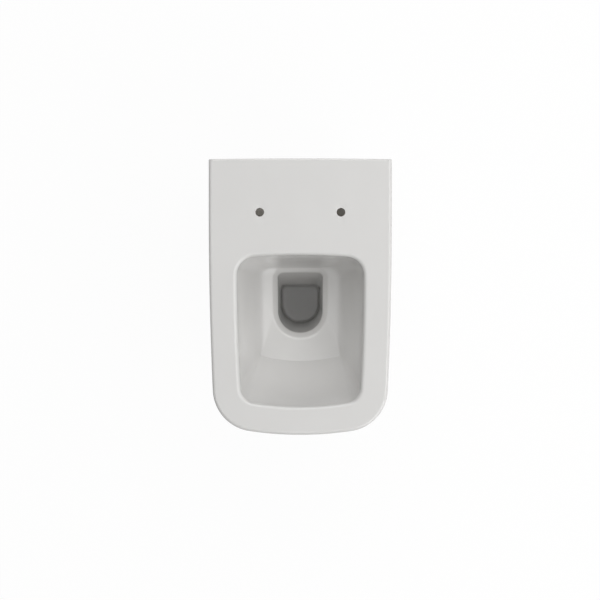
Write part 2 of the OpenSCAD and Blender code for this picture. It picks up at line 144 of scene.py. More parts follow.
def arc(cx, cy, r, a0, a1, n):
    return [(cx + r * math.cos(a), cy + r * math.sin(a)) for a in stops(a0, a1, n)]


def half_outline(hw, yb, yf, rb, rf, side_r, bow_r, back_r, straight):
    """Right half of an outline: bowed back, side and front edges, and corners that meet them smoothly."""
    back_a = math.asin((hw - rb) / (back_r - rb))
    back_cy = yb - back_r + (back_r - rb) * math.cos(back_a)
    yt = min(back_cy, yb - straight)
    cx = hw - rf
    for _ in range(6):
        cy = yf + bow_r - math.sqrt((bow_r - rf) ** 2 - cx * cx)
        cx = hw - side_r + math.sqrt((side_r - rf) ** 2 - (cy - yt) ** 2)
    side_a = math.asin((yt - cy) / (side_r - rf))
    front_a = math.asin(cx / (bow_r - rf))
    return (
        arc(0, yb - back_r, back_r, QUARTER, QUARTER - back_a, BACK_N)
        + arc(hw - rb, back_cy, rb, QUARTER - back_a, 0, BACK_CORNER_N)
        + [(hw, y) for y in stops(back_cy, yt, STRAIGHT_N)]
        + arc(hw - side_r, yt, side_r, 0, -side_a, SIDE_N)
        + arc(cx, cy, rf, -side_a, front_a - QUARTER, FRONT_CORNER_N)
        + arc(0, yf + bow_r, bow_r, front_a - QUARTER, -QUARTER, FRONT_N)
        + [(0, yf)]
    )


def outline(z, half):
    """A whole level outline at height z, from the middle of the back round the left side to the right."""
    left = [Vector((-x, y, z)) for x, y in half]
    right = [Vector((x, y, z)) for x, y in half[-2:0:-1]]
    return left + right


def raised(ring, h):
    return [p + Vector((0, 0, h)) for p in ring]


def between(a, b, t):
    return [p.lerp(q, t) for p, q in zip(a, b)]


def shrunk(ring, t):
    """The ring drawn towards its middle to a share t of its size."""
    middle = sum(ring, Vector()) / len(ring)
    return [middle.lerp(p, t) for p in ring]


# Mesh building

# Directions that pieces are turned about
UP, OUT, BACK = (0, 0, 1), (0, -1, 0), (0, 1, 0)


def start_of(axis):
    """The direction in which a turned piece has its first corner: along x where the axis allows."""
    return Vector((1, 0, 0)) if abs(axis.x) < 0.5 else Vector((0, 1, 0))


def new_piece(name, bm, *materials):
    bmesh.ops.recalc_face_normals(bm, faces=bm.faces)
    mesh = bpy.data.meshes.new(name)
    bm.to_mesh(mesh)
    bm.free()
    for m in materials:
        mesh.materials.append(m)
    piece = bpy.data.objects.new(name, mesh)
    bpy.context.scene.collection.objects.link(piece)
    return piece


def grow(bm, verts, points):
    """Extrudes a closed loop of vertices and moves the new loop onto the given points."""
    place = {v: i for i, v in enumerate(verts)}
    edges = [bm.edges.get((v, verts[i - 1])) for i, v in enumerate(verts)]
    made = bmesh.ops.extrude_edge_only(bm, edges=edges)["geom"]
    loop = [None] * len(verts)
    for v in (g for g in made if isinstance(g, bmesh.types.BMVert)):
        for e in v.link_edges:
            i = place.get(e.other_vert(v))
            if i is not None:
                loop[i] = v
                v.co = points[i] * MM
    return loop


def loft(rings):
    """A closed skin through rings of equal length, listed from one end to the other."""
    bm = bmesh.new()
    verts = bmesh.ops.create_circle(bm, cap_ends=True, segments=len(rings[0]), radius=1)["verts"]
    for v, p in zip(verts, rings[0]):
        v.co = p * MM
    for ring in rings[1:]:
        verts = grow(bm, verts, ring)
    bmesh.ops.contextual_create(bm, geom=verts)
    return bm


def rounded(profile, r, n=3):
    """Rounds each corner of a closed profile of (radius, height) that isn't on the axis."""
    soft = []
    for i, corner in enumerate(profile):
        here = Vector(corner)
        back, on = Vector(profile[i - 1]) - here, Vector(profile[(i + 1) % len(profile)]) - here
        reach = min(r, back.length * 0.45, on.length * 0.45)
        a, b = here + back.normalized() * reach, here + on.normalized() * reach
        turn = [a.lerp(here, k / n).lerp(here.lerp(b, k / n), k / n) for k in range(n + 1)]
        soft += [tuple(corner)] if corner[0] == 0 else [tuple(p) for p in turn]
    return soft


def lathe(profile, at, direction, steps=96):
    """Spins a closed profile of (radius, distance along the axis) about an axis through at."""
    bm = bmesh.new()
    axis = Vector(direction).normalized()
    side = start_of(axis)
    verts = [bm.verts.new((Vector(at) + axis * h + side * r) * MM) for r, h in profile]
    for i, v in enumerate(verts):
        bm.edges.new((verts[i - 1], v))
    bmesh.ops.spin(
        bm, geom=bm.verts[:] + bm.edges[:], cent=Vector(at) * MM, axis=axis, dvec=(0, 0, 0),
        angle=TAU, steps=steps, use_merge=True)
    bmesh.ops.remove_doubles(bm, verts=bm.verts, dist=1e-6)
    bmesh.ops.dissolve_degenerate(bm, dist=1e-7, edges=bm.edges)
    return bm


def thread(root, crest, pitch, h0, h1, at, direction, steps=30):
    """A threaded rod: one pitch of its profile is spun up a helix, and both ends are cut flat."""
    bm = bmesh.new()
    axis = Vector(direction).normalized()
    side = start_of(axis)
    # The foot lies so far below h0 that no vertex lies in the plane of the first cut
    foot = h0 - 1.45 * pitch
    turns = math.ceil((h1 - h0) / pitch + 1.7)
    profile = [(root, 0), (crest, 0.42), (crest, 0.58), (root, 1)]
    verts = [bm.verts.new((Vector(at) + axis * (foot + h * pitch) + side * r) * MM) for r, h in profile]
    edges = [bm.edges.new(pair) for pair in zip(verts, verts[1:])]
    bmesh.ops.spin(
        bm, geom=verts + edges, cent=Vector(at) * MM, axis=axis, dvec=axis * pitch / steps * MM,
        angle=TAU * turns, steps=steps * turns)
    bmesh.ops.remove_doubles(bm, verts=bm.verts, dist=5e-6)
    for h, out in ((h0, -axis), (h1, axis)):
        cut = bmesh.ops.bisect_plane(
            bm, geom=bm.verts[:] + bm.edges[:] + bm.faces[:], dist=1e-7,
            plane_co=(Vector(at) + axis * h) * MM, plane_no=out, clear_outer=True)["geom_cut"]
        bmesh.ops.edgeloop_fill(bm, edges=[e for e in cut if isinstance(e, bmesh.types.BMEdge)])
    return bm


def together(name, pieces, *materials):
    """Makes one piece of several that don't touch."""
    bm = bmesh.new()
    for piece in pieces:
        bm.from_mesh(piece.data)
        bpy.data.objects.remove(piece)
    return new_piece(name, bm, *materials)


def apply(piece):
    """Keeps what the modifiers made and drops the modifiers."""
    graph = bpy.context.evaluated_depsgraph_get()
    mesh = bpy.data.meshes.new_from_object(piece.evaluated_get(graph))
    piece.modifiers.clear()
    bm = bmesh.new()
    bm.from_mesh(mesh)
    bmesh.ops.remove_doubles(bm, verts=bm.verts, dist=3e-6)
    bmesh.ops.dissolve_degenerate(bm, dist=3e-6, edges=bm.edges)
    bm.to_mesh(mesh)
    bm.free()
    piece.data = mesh


def combine(piece, tools, operation):
    """Joins the tools to the piece, or cuts them from it, and uses them up."""
    for tool in tools:
        m = piece.modifiers.new("solid", "BOOLEAN")
        m.operation = operation
        m.solver = "MANIFOLD"
        m.material_mode = "TRANSFER"
        m.object = tool
    apply(piece)
    for tool in tools:
        bpy.data.objects.remove(tool)


def smooth(piece, angle=35):
    piece.data.polygons.foreach_set("use_smooth", [True] * len(piece.data.polygons))
    piece.data.set_sharp_from_angle(angle=math.radians(angle))


# Shape of the pan

def skin_ring(a, d, inset, back, back_r=FLAT_R):
    """A level outline of the outer skin at depth d, drawn in by the sweep's angle a and by the inset."""
    draw = 1 - math.cos(a)
    return outline(RIM_Z - d, half_outline(
        PAN_W / 2 - SIDE_TUCK * draw - inset, back, -PAN_DEPTH + FRONT_SWEEP * draw + inset,
        max(BACK_CORNER_R, inset / 2), FRONT_CORNER_R + CORNER_GROWTH * draw - inset, SIDE_BOW_R - inset,
        FRONT_BOW_R - inset, back_r, SIDE_STRAIGHT))


def skin_rings(inset, back, n):
    """The skin's sweep, from the underside up to the belt."""
    fall = PAN_H - BELT_H - inset
    sweep = [QUARTER * i / n for i in range(n, -1, -1)]
    return [skin_ring(a, BELT_H + fall * math.sin(a), inset, back) for a in sweep]


def below_mouth(d):
    return max(0, d - WELL_MOUTH_D)


def down_well(d):
    """How far down the well the depth d is, from 0 at its mouth to 1 at its floor."""
    return below_mouth(d) / (WELL_DEPTH - WELL_MOUTH_D)


def floor_inset(d):
    """How far the rounding of the well's floor draws its walls in."""
    t = clamp((d - FLOOR_TOP_D) / WELL_FLOOR_R)
    return WELL_FLOOR_R * (1 - math.sqrt(1 - t * t))


def lip_out(d, lean):
    """How far the rounded lip stands outside a wall that leans in by so much for each step down."""
    turn = QUARTER - math.atan(lean)
    if d >= LIP_R * (1 - math.cos(turn)):
        return 0
    return LIP_R * math.tan(turn / 2) - math.sqrt(d * (2 * LIP_R - d)) + lean * d


def collar_out(d):
    return COLLAR_W - (d - COLLAR_TOP_D) * COLLAR_SLOPE


def to_well(drawn_in, d):
    """How far the collar, or the well itself, stands outside the well's mouth at depth d."""
    return softly_more(collar_out(d), -drawn_in * down_well(d), MOUTH_R)


def wall_ring(d, outset=0.0):
    """A level outline of the bowl's walls, whose front the ramp cuts off."""
    lip = lip_out(d, WALL_LEAN)
    ramp = lip_out(d, RAMP_LEAN) + outset + PAN_DEPTH - RIM_FRONT - RAMP_LEAN * d - RAMP_BEND * d * d
    half = half_outline(
        OPENING_HW - WALL_LEAN * d - WALL_BEND * d * d + lip + outset, bowl_back(d) + outset,
        -ramp - RAMP_CUT * d * d,
        mix(OPENING_REAR_R, WELL_CORNER_R + COLLAR_W, min(1, d / WELL_MOUTH_D)) + lip + outset,
        mix(CREASE_CORNER_R, OPENING_FRONT_R, (1 - d / CREASE_D) ** 2) + lip + outset,
        OPENING_SIDE_BOW_R, OPENING_FRONT_BOW_R + outset, OPENING_BACK_BOW_R, 0)
    bow = mix(1 / OPENING_FRONT_BOW_R, 1 / CREASE_BOW_R, min(1, d / CREASE_D)) / 2
    softness = max(0.01, RAMP_EDGE_SOFTNESS * d / CREASE_D)
    return outline(RIM_Z - d, [(x, softly_more(y, bow * x * x - ramp, softness)) for x, y in half])


def well_ring(d, outset=0.0):
    """A level outline of the collar or of the well below it."""
    hw = WELL_HW - floor_inset(d) + to_well(WELL_DRAW_IN, d) + outset
    front = WELL_BACK + WELL_LEN - floor_inset(d) + to_well(WELL_FRONT_DRAW_IN, d) + outset
    return outline(RIM_Z - d, half_outline(
        hw, bowl_back(d) + outset, -front, WELL_CORNER_R + max(0, min(COLLAR_W, collar_out(d))) + outset,
        hw - 1.5, OPENING_SIDE_BOW_R, WELL_FRONT_BOW_R + outset, OPENING_BACK_BOW_R, 0))


def bowl_back(d):
    """Where the bowl's rear wall, and below it the well's, stands at depth d."""
    fall = max(0, d - UPRIGHT_LIP)
    wall = WELL_BACK - OPENING_BACK - REAR_LEAN * fall - REAR_BEND * fall * fall
    ledge = softly_less(wall, collar_out(d), COLLAR_R)
    well = -min(WELL_REAR_STOP, below_mouth(d) * WELL_REAR_SLOPE)
    return lip_out(d, 0) - WELL_BACK - floor_inset(d) + softly_more(ledge, well, MOUTH_R)


def bowl_ring(d, outset=0.0):
    """The bowl at depth d: its walls and ramp, then the shelf, then the collar and well."""
    if d <= CREASE_D:
        return wall_ring(d, outset)
    if d >= COLLAR_TOP_D:
        return well_ring(d, outset)
    t = (d - CREASE_D) / (COLLAR_TOP_D - CREASE_D)
    return between(wall_ring(CREASE_D, outset), well_ring(COLLAR_TOP_D, outset), t)


def softened(rings):
    """Rounds the bowl's side and rear creases, and keeps both end rings and the ramp's foot."""
    for _ in range(CREASE_PASSES):
        inner = [
            [p.lerp((a + b) / 2, ease((p.y - RAMP_FOOT_Y) / CREASE_RUN_OUT) / 2) for a, p, b in zip(*three)]
            for three in zip(rings, rings[1:], rings[2:])]
        rings = rings[:1] + inner + rings[-1:]
    return rings


def glazed_skin():
    """One closed skin: underside, sides, top edge, rim, lip, bowl, well and its floor."""
    under = skin_ring(QUARTER, PAN_H, 0, 0)
    rings = [shrunk(under, t) for t in (0.3, 0.7, 0.97)]
    rings += skin_rings(0, 0, SWEEP_N)
    for d in stops(BELT_H, EDGE_R, SIDE_RISE_N)[1:]:
        bow = mix(1 / FLAT_R, 1 / TOP_BACK_BOW_R, (BELT_H - d) / BELT_H)
        rings.append(skin_ring(0, d, 0, 0, 1 / bow))
    for a in stops(0, QUARTER, EDGE_N) + [QUARTER]:
        rings.append(skin_ring(
            0, EDGE_R * (1 - math.sin(a)), EDGE_R * (1 - math.cos(a)), -BACK_EDGE_R * (1 - math.cos(a)),
            TOP_BACK_BOW_R))
    outer = rings[-1]
    inner = bowl_ring(0)
    rings += [between(outer, inner, t) for t in (0.02, 0.1, 0.25, 0.4, 0.6, 0.75, 0.9, 0.98)]
    rings += [bowl_ring(LIP_R * (1 - math.cos(a))) for a in stops(0, QUARTER, LIP_N)]
    bowl_depths = stops(LIP_R, CREASE_D, WALL_N) + stops(CREASE_D, COLLAR_TOP_D, SHELF_N) + [COLLAR_TOP_D]
    rings += softened([bowl_ring(d) for d in bowl_depths])[:-1]
    rings += [bowl_ring(d) for d in stops(COLLAR_TOP_D, MOUTH_BOTTOM_D, MOUTH_N)]
    rings += [bowl_ring(d) for d in stops(MOUTH_BOTTOM_D, FLOOR_TOP_D, WELL_N)]
    floor_turn = stops(0, QUARTER, FLOOR_N) + [QUARTER]
    rings += [bowl_ring(FLOOR_TOP_D + WELL_FLOOR_R * math.sin(a)) for a in floor_turn]
    rings += [shrunk(rings[-1], t) for t in (0.9, 0.5)]
    return loft(rings)


def hollow_skin():
    """The space inside the walls, the web and the deck."""
    return loft(skin_rings(WALL, -WEB_T, HOLLOW_SWEEP_N) + [skin_ring(0, DECK_T, WALL, -WEB_T)])


def bowl_back_skin():
    """The bowl's outer side: as far below the shelf and the well as it is outside the walls."""
    depths = (
        stops(DECK_T - 1, CREASE_D, BACK_WALL_N) + stops(CREASE_D, COLLAR_TOP_D, BACK_SHELF_N)
        + stops(COLLAR_TOP_D, MOUTH_BOTTOM_D, BACK_MOUTH_N)
        + stops(MOUTH_BOTTOM_D, FLOOR_TOP_D, BACK_WELL_N) + [FLOOR_TOP_D])
    rings = []
    for d in depths:
        drop = WALL * ease((d - BACK_DROP_D) / (CREASE_D - BACK_DROP_D))
        rings.append(raised(bowl_ring(d, WALL), -drop))
    rings.append(raised(rings[-1], -WELL_FLOOR_R))
    return loft(rings)


# The water way's stops: distance from the wall, height above the outlet, half width and half height
WATER_WAY = [
    (294, -98, 36, 31), (262, -98, 37, 31), (238, -97, 38, 31), (216, -90, 38, 32), (198, -73, 38, 33),
    (187, -50, 38, 34), (180, -26, 38, 35), (170, -3, 39, 36), (154, 14, 40, 37), (134, 21, 41, 38),
    (114, 19, 42, 40), (98, 13, 42, 42), (84, 6.5, OUTLET_BORE_R, OUTLET_BORE_R),
    (70, 1.5, OUTLET_BORE_R, OUTLET_BORE_R), (SPIGOT_END, 0, OUTLET_BORE_R, OUTLET_BORE_R)]
# The flush channel's sections: distance from the wall, half width, half height and depth below the rim
CHANNEL = [
    (INLET_DEPTH - 1, INLET_R - 3, INLET_R - 3, RIM_Z - INLET_RISE),
    (90, 29, 20, 39), (135, 40, 11, 28),
    (OPENING_BACK - 10, SLOT_HW, SLOT_H / 2, SLOT_TOP_D + SLOT_H / 2),
    (OPENING_BACK + 6, SLOT_HW, SLOT_H / 2, SLOT_TOP_D + SLOT_H / 2)]


def water_way(extra, around=48):
    """The way from the well's foot over the weir to the outlet, larger by extra all round."""
    rings = []
    last = len(WATER_WAY) - 1
    for i, (back, rise, half_w, half_h) in enumerate(WATER_WAY):
        a, b = WATER_WAY[max(0, i - 1)], WATER_WAY[min(last, i + 1)]
        along = Vector((0, a[0] - b[0], b[1] - a[1])) if i < last else Vector((0, 1, 0))
        along.normalize()
        power = min(1, mix(WAY_SQUARENESS, 1, i / (last - 2)))
        centre = Vector((0, -back, rise + OUTLET_Z))
        up = Vector((0, along.z, -along.y))
        rings.append([
            centre + Vector(((half_w + extra) * squared(math.cos(t), power), 0, 0))
            + up * (half_h + extra) * squared(math.sin(t), power)
            for t in stops(0, TAU, around)])
    return loft(rings)


def flush_channel(extra, around=40):
    """The channel from the inlet to the slot in the bowl's rear wall, larger by extra all round."""
    return loft([[
        Vector((
            (half_w + extra) * squared(math.cos(t), FLUSH_SQUARENESS), -back,
            RIM_Z - depth + (half_h + extra) * squared(math.sin(t), FLUSH_SQUARENESS)))
        for t in stops(0, TAU, around)] for back, half_w, half_h, depth in CHANNEL])


def rod(r, h0, h1, at, direction, steps=64):
    return lathe([(0, h0), (r, h0), (r, h1), (0, h1)], at, direction, steps)


def mouth(r, depth, lip, out=2.0, n=6):
    """Profile of a round hole whose edge is rounded where it meets the face at height 0."""
    turn = stops(0, math.radians(80), n)
    rounding = [(r + lip * (1 - math.cos(a)), -lip + lip * math.sin(a)) for a in turn]
    wide = r + lip
    return [(0, -depth), (r, -depth)] + rounding + [(wide, 0), (wide, out), (0, out)]


def window_tool():
    """The rounded opening in the web, from just behind the wall face to just inside the hollow."""
    z0, z1 = BOTTOM_Z + WINDOW_SILL, OUTLET_Z + WINDOW_RISE
    r = WINDOW_CORNER_R
    corners = [
        (WINDOW_HW - r, z1 - r, 0), (-WINDOW_HW + r, z1 - r, 1), (-WINDOW_HW + r, z0 + r, 2),
        (WINDOW_HW - r, z0 + r, 3)]
    ring = []
    for cx, cz, q in corners:
        for a in stops(QUARTER * q, QUARTER * (q + 1), 12) + [QUARTER * (q + 1)]:
            ring.append(Vector((cx + r * math.cos(a), 1, cz + r * math.sin(a))))
    return loft([ring, [p - Vector((0, WEB_T + 2, 0)) for p in ring]])


def at_stud(side):
    return (side * STUD_GAP / 2, 0, 0)


def at_side(side):
    return (side * PAN_W / 2, -SIDE_SCREW_BACK, 0)


def make_pan(glaze, clay):
    """The casting: the glazed skin less its hollow, water way, channel and holes."""
    pan = new_piece("pan_casting", glazed_skin(), glaze, clay)
    hollow = new_piece("hollow", hollow_skin(), clay)
    combine(hollow, [new_piece("window", window_tool(), clay)], "UNION")
    kept = [
        new_piece("bowl_back", bowl_back_skin(), clay),
        new_piece("way_back", water_way(TRAP_WALL), clay),
        new_piece("spigot", rod(
            OUTLET_R, -SPIGOT_END - 1, -OUTLET_RECESS, (0, 0, OUTLET_Z), BACK, 96), clay),
        new_piece("channel_back", flush_channel(FLUSH_WALL), clay),
        new_piece("inlet_boss", rod(
            INLET_R + BOSS_WALL, -INLET_DEPTH - BOSS_WALL, -1, (0, 0, INLET_RISE), BACK), clay),
    ]
    for side in (-1, 1):
        kept.append(new_piece("bush_boss", rod(
            BUSH_R + CLEARANCE + BOSS_WALL, -BUSH_BOSS_LEN, -1, at_stud(side), BACK), clay))
        kept.append(new_piece("insert_boss", rod(
            INSERT_R + BOSS_WALL, -CAP_RECESS_DEPTH - INSERT_LEN, -1, at_side(side), (side, 0, 0)), clay))
    combine(hollow, kept, "DIFFERENCE")
    tools = [
        hollow,
        new_piece("way", water_way(0), glaze),
        new_piece("channel", flush_channel(0), glaze),
        new_piece("outlet", lathe(
            [(0, -SPIGOT_END - 2), (OUTLET_BORE_R, -SPIGOT_END - 2), (OUTLET_BORE_R, 1), (0, 1)],
            (0, 0, OUTLET_Z), BACK), glaze),
        new_piece("inlet", lathe([
            (0, -INLET_DEPTH), (INLET_R, -INLET_DEPTH), (INLET_R, -SEAL_FLANGE_T),
            (SEAL_FLANGE_R + CLEARANCE, -SEAL_FLANGE_T), (SEAL_FLANGE_R + CLEARANCE, 1), (0, 1)],
            (0, 0, INLET_RISE), BACK), clay),
    ]
    for side in (-1, 1):
        tools.append(new_piece("seat_hole", lathe(
            mouth(SEAT_HOLE_R, DECK_T + 4, SEAT_HOLE_LIP),
            (side * SEAT_HOLE_GAP / 2, -SEAT_HOLE_BACK, RIM_Z), UP), glaze))
        tools.append(new_piece("bush_hole", lathe(
            mouth(BUSH_R + CLEARANCE, BUSH_BOSS_LEN + 2, 1), at_stud(side), BACK), clay))
        recess = mouth(CAP_RECESS_R, CAP_RECESS_DEPTH, 0.8)
        hole_r, hole_d = INSERT_R + CLEARANCE, CAP_RECESS_DEPTH + INSERT_LEN + 2
        tools.append(new_piece("cap_recess", lathe(
            [(0, -hole_d), (hole_r, -hole_d), (hole_r, -CAP_RECESS_DEPTH)] + recess[1:],
            at_side(side), (side, 0, 0)), glaze))
    combine(pan, tools, "DIFFERENCE")
    return pan


# Fixings. Each is drawn along the axis that it is turned about, and h is the distance along that axis

def make_seal(rubber):
    """A sleeve with four rounded ribs outside, three soft lips inside and a flange at the wall."""
    gap = (SEAL_LEN - SEAL_FLANGE_T - SEAL_RIB_W) / (SEAL_RIB_N - 1)
    root = SEAL_R - SEAL_GROOVE
    profile = [(SEAL_BORE_R, 0), (SEAL_FLANGE_R, 0), (SEAL_FLANGE_R, SEAL_FLANGE_T)]
    for i in range(SEAL_RIB_N):
        h = SEAL_FLANGE_T + i * gap
        profile += [
            (root if i else SEAL_R, h), (SEAL_R, h + SEAL_RIB_W * 0.35), (SEAL_R, h + SEAL_RIB_W * 0.65),
            (root, h + SEAL_RIB_W)]
    profile.append((SEAL_BORE_R, SEAL_LEN))
    for i in range(SEAL_RIB_N - 1, 0, -1):
        h = SEAL_FLANGE_T + i * gap
        profile += [(SEAL_BORE_R, h), (SEAL_BORE_R + 1, h - 2), (SEAL_BORE_R + 1, h - gap + 3)]
    profile.append((SEAL_BORE_R, h - gap))
    return new_piece(
        "inlet_seal_sleeve", lathe(rounded(profile, SEAL_RIB_EASE), (0, 0, INLET_RISE), OUT), rubber)


def make_bush(name, side, nylon):
    """A moulded sleeve with flutes between the ends and a groove for the point of the side screw."""
    groove_r = BUSH_R - BUSH_GROOVE_DEPTH
    profile = rounded([
        (STUD_HOLE_R, 0), (BUSH_R, 0), (BUSH_R, SIDE_SCREW_BACK - BUSH_GROOVE_HW),
        (groove_r, SIDE_SCREW_BACK - BUSH_GROOVE_HW / 2), (groove_r, SIDE_SCREW_BACK + BUSH_GROOVE_HW / 2),
        (BUSH_R, SIDE_SCREW_BACK + BUSH_GROOVE_HW), (BUSH_R, BUSH_LEN - BUSH_LEAD_IN),
        (BUSH_R - BUSH_LEAD_IN, BUSH_LEN), (STUD_HOLE_R, BUSH_LEN)], 0.6)
    bush = new_piece(name, lathe(profile, at_stud(side), OUT), nylon)
    h0, h1 = FLUTE_ENDS
    x, y, z = at_stud(side)
    flutes = []
    for a in stops(0, TAU, FLUTE_N):
        centre = (x + FLUTE_AXIS_R * math.cos(a), y, z + FLUTE_AXIS_R * math.sin(a))
        flutes.append(new_piece("flute", lathe(
            rounded([(0, h0), (FLUTE_R, h0), (FLUTE_R, h1), (0, h1)], 1.2), centre, OUT, 20), nylon))
    combine(bush, flutes, "DIFFERENCE")
    return bush


def make_washers(zinc):
    rings = [new_piece("ring", lathe(rounded([
        (STUD_HOLE_R, BUSH_LEN), (WASHER_R, BUSH_LEN), (WASHER_R, BUSH_LEN + WASHER_T),
        (STUD_HOLE_R, BUSH_LEN + WASHER_T)], 0.4), at_stud(side), OUT)) for side in (-1, 1)]
    return together("stud_washer_pair", rings, zinc)


def make_nuts(zinc):
    """Hexagon nuts with chamfered corners and a threaded bore."""
    corner_r = NUT_AF / 2 / math.cos(math.radians(30))
    h0, h1 = BUSH_LEN + WASHER_T, BUSH_LEN + WASHER_T + NUT_H
    face_r, fall = NUT_AF / 2 * 0.97, 1.1
    nuts = []
    for side in (-1, 1):
        at = at_stud(side)
        nut = new_piece("nut", rod(corner_r, h0, h1, at, OUT, 6), zinc)
        combine(nut, [new_piece("turned", lathe([
            (0, h0), (face_r, h0), (corner_r + 0.5, h0 + fall), (corner_r + 0.5, h1 - fall), (face_r, h1),
            (0, h1)], at, OUT), zinc)], "INTERSECT")
        combine(nut, [
            new_piece("bore", thread(
                STUD_HOLE_R, STUD_HOLE_R + THREAD_DEPTH, NUT_PITCH, h0 - 1, h1 + 1, at, OUT), zinc),
            new_piece("sink", lathe(
                [(0, h1 - 0.9), (STUD_HOLE_R, h1 - 0.9), (STUD_HOLE_R + 2, h1 + 1), (0, h1 + 1)],
                at, OUT), zinc)], "DIFFERENCE")
        nuts.append(nut)
    return together("stud_nut_pair", nuts, zinc)


def make_insert(name, side, brass):
    """A barrel with three knurled bands, a flange that lies in the recess, and a threaded bore."""
    at, axis = Vector(at_side(side)), Vector((side, 0, 0))
    foot, top = -CAP_RECESS_DEPTH - INSERT_LEN, -CAP_RECESS_DEPTH
    waist = INSERT_R - WAIST_DEPTH

    def ring(h, r, cut):
        """A ring at h whose every other corner is cut back from r."""
        points = []
        for i, a in enumerate(stops(0, TAU, 2 * KNURL_N)):
            rr = r - cut * (i % 2)
            points.append(at + axis * h + Vector((0, rr * math.cos(a), rr * math.sin(a))))
        return points

    rings = [ring(foot, INSERT_R - 1.4, 0), ring(foot + 1, INSERT_R - 0.7, 0)]
    for h0, h1 in ((1.4, 9), (10.2, 17.6), (18.8, 25.6)):
        rings += [
            ring(foot + h0, waist, 0), ring(foot + h0 + 0.6, INSERT_R, KNURL_DEPTH),
            ring(foot + h1 - 0.6, INSERT_R, KNURL_DEPTH), ring(foot + h1, waist, 0)]
    rings.append(ring(top + 1, waist, 0))
    insert = new_piece(name, loft(rings), brass)
    face = top + INSERT_FLANGE_T
    flange = rounded([(0, top), (INSERT_FLANGE_R, top), (INSERT_FLANGE_R, face), (0, face)], 0.5)
    combine(insert, [new_piece("flange", lathe(flange, at, axis), brass)], "UNION")
    combine(insert, [
        new_piece("bore", thread(
            INSERT_BORE_R, INSERT_BORE_R + THREAD_DEPTH, SCREW_PITCH, foot - 1, face + 1, at, axis), brass),
        new_piece("sink", lathe(
            [(0, face - 0.8), (INSERT_BORE_R, face - 0.8), (INSERT_BORE_R + 1.8, face + 1), (0, face + 1)],
            at, axis), brass)], "DIFFERENCE")
    return insert


def make_side_screw(name, side, zinc):
    """A socket set screw: its thread runs out on the cone of the point, and its head end is chamfered."""
    at, axis = at_side(side), (side, 0, 0)
    tip = -PAN_W / 2 + STUD_GAP / 2 + BUSH_R - BUSH_GROOVE_DEPTH + CLEARANCE
    head = tip + SIDE_SCREW_LEN
    screw = new_piece(name, thread(
        SIDE_SCREW_R - 0.85, SIDE_SCREW_R + 0.1, SCREW_PITCH, tip, head, at, axis), zinc)
    turned = [
        (0, tip), (POINT_R, tip), (SIDE_SCREW_R, tip + POINT_LEN), (SIDE_SCREW_R, head - 0.9),
        (SIDE_SCREW_R - 0.9, head), (0, head)]
    combine(screw, [new_piece("turned", lathe(turned, at, axis), zinc)], "INTERSECT")
    socket_r = SOCKET_AF / 2 / math.cos(math.radians(30))
    combine(screw, [
        new_piece("socket", rod(socket_r, head - SOCKET_DEPTH, head + 1, at, axis, 6), zinc),
        new_piece("sink", lathe(
            [(0, head - 0.5), (socket_r - 0.3, head - 0.5), (socket_r + 0.9, head + 0.7), (0, head + 0.7)],
            at, axis), zinc)], "DIFFERENCE")
    return screw


def make_cap(name, side, plastic):
    """A push-in cap with a slightly domed face, and four slits that let its skirt spring."""
    at, axis = Vector(at_side(side)), Vector((side, 0, 0))
    inner = CAP_R - CAP_SKIRT_T
    dome = [(CAP_R * t, -0.45 * t * t) for t in (0.93, 0.8, 0.6, 0.4, 0.2)]
    profile = [
        (0, -CAP_FACE_T), (inner - 0.4, -CAP_FACE_T), (inner, -CAP_FACE_T - 0.4), (inner, -CAP_H + 0.5),
        (inner + 0.5, -CAP_H), (CAP_R - 0.3, -CAP_H), (CAP_R, -CAP_H + 0.3), (CAP_R, -1.3)]
    for k in range(1, 5):
        a = QUARTER * k / 4
        profile.append((CAP_R * 0.93 + (CAP_R * 0.07) * math.cos(a), -1.3 + 0.91 * math.sin(a)))
    cap = new_piece(name, lathe(profile + dome[1:] + [(0, 0)], at, axis), plastic)
    slits = []
    for across in (Vector((0, 1, 0)), Vector((0, 0, 1))):
        along = axis.cross(across)
        ring = [
            at + axis * (-CAP_H - 1) + across * w + along * l
            for w, l in ((-0.8, -20), (0.8, -20), (0.8, 20), (-0.8, 20))]
        end = [p + axis * (CAP_H + 1 - CAP_FACE_T - 0.4) for p in ring]
        slits.append(new_piece("slit", loft([ring, end]), plastic))
    combine(cap, slits, "DIFFERENCE")
    return cap


# Materials. Their patterns follow Object coordinates

